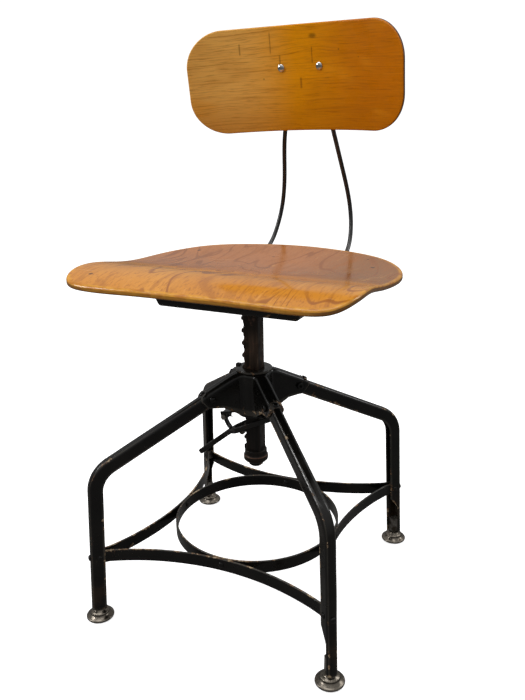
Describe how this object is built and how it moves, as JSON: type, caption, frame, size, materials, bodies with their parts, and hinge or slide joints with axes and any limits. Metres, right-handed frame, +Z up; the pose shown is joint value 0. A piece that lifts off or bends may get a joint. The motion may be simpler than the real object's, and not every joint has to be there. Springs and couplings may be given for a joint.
{
  "type": "drafting chair",
  "caption": "Drafting chair with a moulded plywood seat and sprung backrest on a toothed lifting post, a four-legged bent steel base and a round foot ring.",
  "frame": {"origin": "on the floor, under the middle of the whole chair; the post axis stands 19 mm in front of it, at y = -0.019 m", "axes": "+Z up; the sitter faces -Y; +X is the sitter's left"},
  "size_m": [0.4268, 0.4615, 0.8471],
  "materials": {
    "black_paint": "gloss black paint, worn and chipped",
    "browned_steel": "oiled brown steel",
    "bare_steel": "plain steel",
    "nickel": "worn nickel plate",
    "chrome": "polished",
    "rod_enamel": "gloss black enamel",
    "seat_plywood": "varnished moulded plywood",
    "back_plywood": "varnished moulded plywood"
  },
  "bodies": {
    "base": {"leg_front_right": "black_paint", "leg_front_left": "black_paint", "leg_rear_left": "black_paint", "leg_rear_right": "black_paint", "stretcher_left": "black_paint", "stretcher_rear": "black_paint", "stretcher_right": "black_paint", "stretcher_front": "black_paint", "foot_ring": "black_paint", "ring_rivets": "black_paint", "stretcher_rivets": "black_paint", "stretcher_blocks": "bare_steel", "leg_bolts": "black_paint", "glide_sockets": "bare_steel", "hub_shell": "black_paint", "hub_top_plate": "black_paint", "hub_guide_sleeve": "bare_steel", "hub_bottom_plate": "black_paint", "hub_rivets": "black_paint", "hub_bolts": "black_paint", "lever_pivot_pin": "bare_steel", "lever_spring": "bare_steel"},
    "lifting_post": {"rack_post": "browned_steel", "post_head": "black_paint", "stop_collar": "browned_steel", "end_nut": "black_paint", "bearing_race_lower": "bare_steel"},
    "swivel_seat": {"bearing_balls": "bare_steel", "bearing_race_upper": "bare_steel", "swivel_spindle": "bare_steel", "seat_pan": "black_paint", "seat_board": "seat_plywood", "seat_spacers": "bare_steel", "seat_screws": "bare_steel", "rod_clamps": "black_paint", "clamp_screws": "bare_steel", "back_rod_left": "rod_enamel", "back_rod_right": "rod_enamel", "backrest_board": "back_plywood", "backrest_screws": "chrome", "backrest_nuts": "bare_steel"},
    "release_fork": {"release_lever": "black_paint", "lever_hanger": "black_paint", "latch_bar": "bare_steel", "fork_end_pin": "bare_steel"},
    "foot_front_right": {"glide_front_right": "nickel"},
    "foot_front_left": {"glide_front_left": "nickel"},
    "foot_rear_left": {"glide_rear_left": "nickel"},
    "foot_rear_right": {"glide_rear_right": "nickel"}
  },
  "joints": [
    {"name": "seat_height", "type": "slide", "parent": "base", "child": "lifting_post", "axis": [0, 0, 1], "range_m": [-0.09525, 0.01905]},
    {"name": "seat_swivel", "type": "hinge", "parent": "lifting_post", "child": "swivel_seat", "pos_m": [0, -0.019, 0.46], "axis": [0, 0, 1], "continuous": true},
    {"name": "lever_release", "type": "hinge", "parent": "base", "child": "release_fork", "pos_m": [-0.05, -0.019, 0.28], "axis": [0, 1, 0], "range_deg": [0, 14], "stiffness_Nm_per_rad": 0.8, "springref_deg": -20.05},
    {"name": "glide_turn_front_right", "type": "hinge", "parent": "base", "child": "foot_front_right", "pos_m": [-0.17646, -0.21157, 0.02], "axis": [0, 0, 1], "continuous": true},
    {"name": "glide_turn_front_left", "type": "hinge", "parent": "base", "child": "foot_front_left", "pos_m": [0.19257, -0.19546, 0.02], "axis": [0, 0, 1], "continuous": true},
    {"name": "glide_turn_rear_left", "type": "hinge", "parent": "base", "child": "foot_rear_left", "pos_m": [0.17646, 0.17357, 0.02], "axis": [0, 0, 1], "continuous": true},
    {"name": "glide_turn_rear_right", "type": "hinge", "parent": "base", "child": "foot_rear_right", "pos_m": [-0.19257, 0.15746, 0.02], "axis": [0, 0, 1], "continuous": true}
  ]
}
